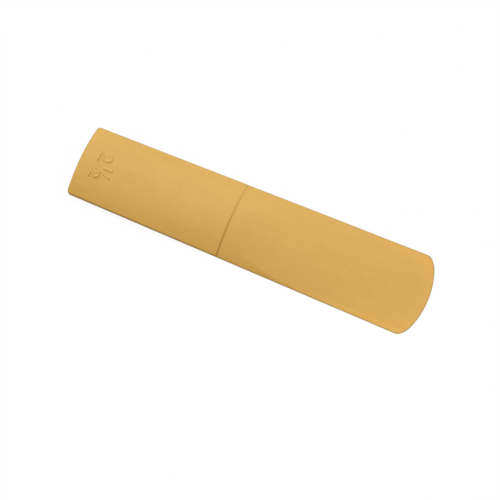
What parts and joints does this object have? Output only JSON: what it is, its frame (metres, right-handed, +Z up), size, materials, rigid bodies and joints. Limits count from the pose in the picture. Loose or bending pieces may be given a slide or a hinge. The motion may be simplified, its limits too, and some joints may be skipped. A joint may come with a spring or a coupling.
{
  "type": "saxophone reed",
  "caption": "Single moulded saxophone reed: flat underside, rounded stock, small shoulder step and a long vamp thinning to an arched tip.",
  "frame": {"origin": "on the flat underside, midway between the heel and the foremost point of the tip, on the centre line", "axes": "+X along the reed from heel to tip, +Y to one long side, +Z up out of the flat underside through the rounded back"},
  "size_m": [0.0724, 0.0164, 0.003],
  "materials": {
    "reed_resin": "satin, cane-coloured"
  },
  "bodies": {
    "root": {"reed_body": "reed_resin"}
  },
  "joints": []
}
